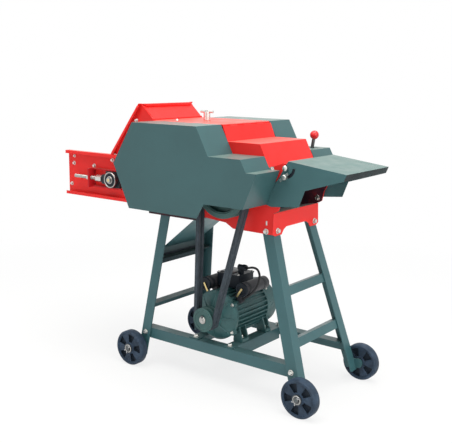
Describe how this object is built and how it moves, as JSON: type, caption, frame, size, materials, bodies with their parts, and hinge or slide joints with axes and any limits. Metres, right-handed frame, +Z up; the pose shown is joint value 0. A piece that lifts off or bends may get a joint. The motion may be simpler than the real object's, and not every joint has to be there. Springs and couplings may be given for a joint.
{
  "type": "chaff cutter",
  "caption": "Electric chaff cutter: conveyor trough and feed rollers bring stalks to a knife drum driven by V-belts, with a tilting outlet hood, on a wheeled angle-steel stand.",
  "frame": {"origin": "on the floor, under the middle of the machine's box", "axes": "+X from the feed end to the outlet end, -Y the drive side with the belts, +Z up"},
  "size_m": [1.24, 0.548, 0.962],
  "materials": {
    "red_paint": "gloss enamel",
    "green_paint": "gloss enamel",
    "wheel_rubber": "moulded",
    "belt_rubber": "matt",
    "bright_steel": "zinc plated",
    "dark_steel": "rolled",
    "cast_iron": "painted casting",
    "black_plastic": "moulded",
    "red_plastic": "moulded ball"
  },
  "bodies": {
    "machine": {"leg_feed_drive": "green_paint", "leg_feed_gear": "green_paint", "leg_outlet_drive": "green_paint", "leg_outlet_gear": "green_paint", "base_rails": "green_paint", "motor_rails": "green_paint", "outlet_bars": "green_paint", "feed_bars": "green_paint", "wheel_retainers": "bright_steel", "side_plate_drive": "red_paint", "side_plate_gear": "red_paint", "apron": "red_paint", "deck": "red_paint", "concave": "dark_steel", "bed_knife": "bright_steel", "pressure_spring": "dark_steel", "cover_drive": "green_paint", "cover_gear": "green_paint", "hood_clamps": "bright_steel", "drop_chute": "green_paint", "trough_drive": "red_paint", "trough_gear": "red_paint", "trough_floor": "dark_steel", "hopper_sides": "red_paint", "hopper_back": "red_paint", "conveyor_belt": "belt_rubber", "take_up_frames": "red_paint", "take_up_blocks": "cast_iron", "take_up_screws": "bright_steel", "body_bearings": "cast_iron", "v_belts": "belt_rubber", "motor_stator": "green_paint", "motor_end_bell": "green_paint", "motor_cowl": "green_paint", "terminal_box": "black_plastic", "capacitors": "black_plastic", "capacitor_lead": "black_plastic", "feed_gearbox": "cast_iron", "feed_chain": "dark_steel"},
    "drum_group": {"drum": "dark_steel", "drum_blades": "bright_steel", "drum_pulley": "green_paint", "drum_pinion": "dark_steel"},
    "motor_rotor_group": {"motor_rotor": "bright_steel", "motor_pulley": "green_paint"},
    "input_gear_group": {"input_gear": "dark_steel"},
    "lower_roller_group": {"lower_roller": "dark_steel"},
    "yoke_group": {"roller_yoke": "dark_steel"},
    "upper_roller_group": {"upper_roller": "dark_steel"},
    "head_roller_group": {"head_roller": "bright_steel"},
    "tail_roller_group": {"tail_roller": "bright_steel"},
    "hood_group": {"hood": "green_paint"},
    "drum_cover_group": {"drum_cover": "red_paint"},
    "lever_group": {"shift_lever": "bright_steel", "shift_knob": "red_plastic"},
    "screw_group": {"pressure_screw": "bright_steel"},
    "wheel_feed_drive_group": {"wheel_feed_drive": "wheel_rubber"},
    "wheel_feed_gear_group": {"wheel_feed_gear": "wheel_rubber"},
    "wheel_outlet_drive_group": {"wheel_outlet_drive": "wheel_rubber"},
    "wheel_outlet_gear_group": {"wheel_outlet_gear": "wheel_rubber"}
  },
  "joints": [
    {"name": "wheel_feed_drive_spin", "type": "hinge", "parent": "machine", "child": "wheel_feed_drive_group", "pos_m": [-0.215, -0.205, 0.065], "axis": [0, 1, 0], "continuous": true},
    {"name": "wheel_feed_gear_spin", "type": "hinge", "parent": "machine", "child": "wheel_feed_gear_group", "pos_m": [-0.215, 0.205, 0.065], "axis": [0, 1, 0], "continuous": true},
    {"name": "wheel_outlet_drive_spin", "type": "hinge", "parent": "machine", "child": "wheel_outlet_drive_group", "pos_m": [0.521, -0.205, 0.065], "axis": [0, 1, 0], "continuous": true},
    {"name": "wheel_outlet_gear_spin", "type": "hinge", "parent": "machine", "child": "wheel_outlet_gear_group", "pos_m": [0.521, 0.205, 0.065], "axis": [0, 1, 0], "continuous": true},
    {"name": "drum_spin", "type": "hinge", "parent": "machine", "child": "drum_group", "pos_m": [0.194, 0, 0.704], "axis": [0, 1, 0], "continuous": true},
    {"name": "motor_spin", "type": "hinge", "parent": "machine", "child": "motor_rotor_group", "pos_m": [0.122, 0, 0.239], "axis": [0, 1, 0], "continuous": true},
    {"name": "input_spin", "type": "hinge", "parent": "machine", "child": "input_gear_group", "pos_m": [0.10106, 0, 0.67996], "axis": [0, 1, 0], "continuous": true},
    {"name": "lower_roller_spin", "type": "hinge", "parent": "machine", "child": "lower_roller_group", "pos_m": [0.01, 0, 0.66], "axis": [0, 1, 0], "continuous": true},
    {"name": "yoke_lift", "type": "slide", "parent": "machine", "child": "yoke_group", "axis": [0, 0, 1], "range_m": [0, 0.025], "stiffness_N_per_m": 4000, "springref_m": -0.01, "deforming": ["pressure_spring"]},
    {"name": "upper_roller_spin", "type": "hinge", "parent": "yoke_group", "child": "upper_roller_group", "pos_m": [0.01, 0, 0.764], "axis": [0, 1, 0], "continuous": true},
    {"name": "head_roller_spin", "type": "hinge", "parent": "machine", "child": "head_roller_group", "pos_m": [-0.085, 0, 0.674], "axis": [0, 1, 0], "continuous": true},
    {"name": "tail_roller_spin", "type": "hinge", "parent": "machine", "child": "tail_roller_group", "pos_m": [-0.364, 0, 0.674], "axis": [0, 1, 0], "continuous": true},
    {"name": "hood_tilt", "type": "hinge", "parent": "machine", "child": "hood_group", "pos_m": [0.405, 0, 0.781], "axis": [0, 1, 0], "range_deg": [-8, 30]},
    {"name": "drum_cover_hinge", "type": "hinge", "parent": "machine", "child": "drum_cover_group", "pos_m": [0.145, 0, 0.901], "axis": [0, -1, 0], "range_deg": [0, 90]},
    {"name": "lever_shift", "type": "hinge", "parent": "machine", "child": "lever_group", "pos_m": [0.264, 0.225, 0.729], "axis": [0, 1, 0], "range_deg": [-12, 12]},
    {"name": "pressure_screw_turn", "type": "hinge", "parent": "machine", "child": "screw_group", "pos_m": [-0.029, 0, 0.914], "axis": [0, 0, 1], "range_deg": [-180, 180]}
  ],
  "couplings": [
    {"joint": "motor_spin", "follows": "drum_spin", "ratio": 2.4286},
    {"joint": "input_spin", "follows": "drum_spin", "ratio": -0.41176},
    {"joint": "lower_roller_spin", "follows": "drum_spin", "ratio": -0.10294},
    {"joint": "upper_roller_spin", "follows": "drum_spin", "ratio": 0.10294},
    {"joint": "head_roller_spin", "follows": "drum_spin", "ratio": -0.14412},
    {"joint": "tail_roller_spin", "follows": "drum_spin", "ratio": -0.14412}
  ]
}
